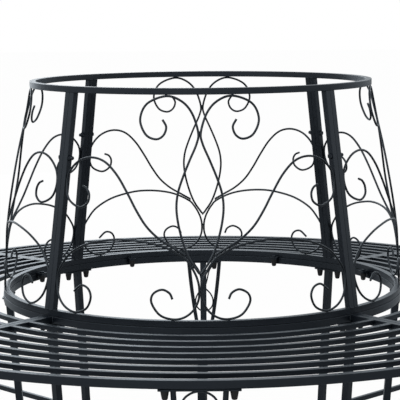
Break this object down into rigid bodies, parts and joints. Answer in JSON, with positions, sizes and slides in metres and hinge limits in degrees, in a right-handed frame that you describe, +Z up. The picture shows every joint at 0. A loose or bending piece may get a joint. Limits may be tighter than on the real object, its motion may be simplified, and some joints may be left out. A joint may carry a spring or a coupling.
{
  "type": "tree bench",
  "caption": "Round steel bench that stands around a tree: ring seat of curved slats, leaning scrollwork backrest in quarter sections, paired legs with scroll fillings.",
  "frame": {"origin": "centre of the ring, on the floor that the feet stand on", "axes": "+Z up; -Y points to the section that faces the viewer, +X to the viewer's right"},
  "size_m": [1.6, 1.6, 0.883],
  "materials": {
    "coated_steel": "satin black powder coat",
    "black_plastic": "matte"
  },
  "bodies": {
    "root": {"back_front_top_rail": "coated_steel", "back_front_bottom_rail": "coated_steel", "back_front_posts": "coated_steel", "back_front_scrolls": "coated_steel", "seat_front_inner_rail": "coated_steel", "seat_front_outer_rail": "coated_steel", "seat_front_slats": "coated_steel", "seat_front_end_bars": "coated_steel", "back_right_top_rail": "coated_steel", "back_right_bottom_rail": "coated_steel", "back_right_posts": "coated_steel", "back_right_scrolls": "coated_steel", "seat_right_inner_rail": "coated_steel", "seat_right_outer_rail": "coated_steel", "seat_right_slats": "coated_steel", "seat_right_end_bars": "coated_steel", "back_rear_top_rail": "coated_steel", "back_rear_bottom_rail": "coated_steel", "back_rear_posts": "coated_steel", "back_rear_scrolls": "coated_steel", "seat_rear_inner_rail": "coated_steel", "seat_rear_outer_rail": "coated_steel", "seat_rear_slats": "coated_steel", "seat_rear_end_bars": "coated_steel", "back_left_top_rail": "coated_steel", "back_left_bottom_rail": "coated_steel", "back_left_posts": "coated_steel", "back_left_scrolls": "coated_steel", "seat_left_inner_rail": "coated_steel", "seat_left_outer_rail": "coated_steel", "seat_left_slats": "coated_steel", "seat_left_end_bars": "coated_steel", "leg_front_inner": "coated_steel", "leg_front_outer": "coated_steel", "leg_front_right_inner": "coated_steel", "leg_front_right_outer": "coated_steel", "leg_right_inner": "coated_steel", "leg_right_outer": "coated_steel", "leg_rear_right_inner": "coated_steel", "leg_rear_right_outer": "coated_steel", "leg_rear_inner": "coated_steel", "leg_rear_outer": "coated_steel", "leg_rear_left_inner": "coated_steel", "leg_rear_left_outer": "coated_steel", "leg_left_inner": "coated_steel", "leg_left_outer": "coated_steel", "leg_front_left_inner": "coated_steel", "leg_front_left_outer": "coated_steel", "stretchers": "coated_steel", "post_bolts": "coated_steel", "tab_bolts": "coated_steel", "leg_bolts": "coated_steel", "bolt_caps": "black_plastic", "foot_caps": "black_plastic"}
  },
  "joints": []
}
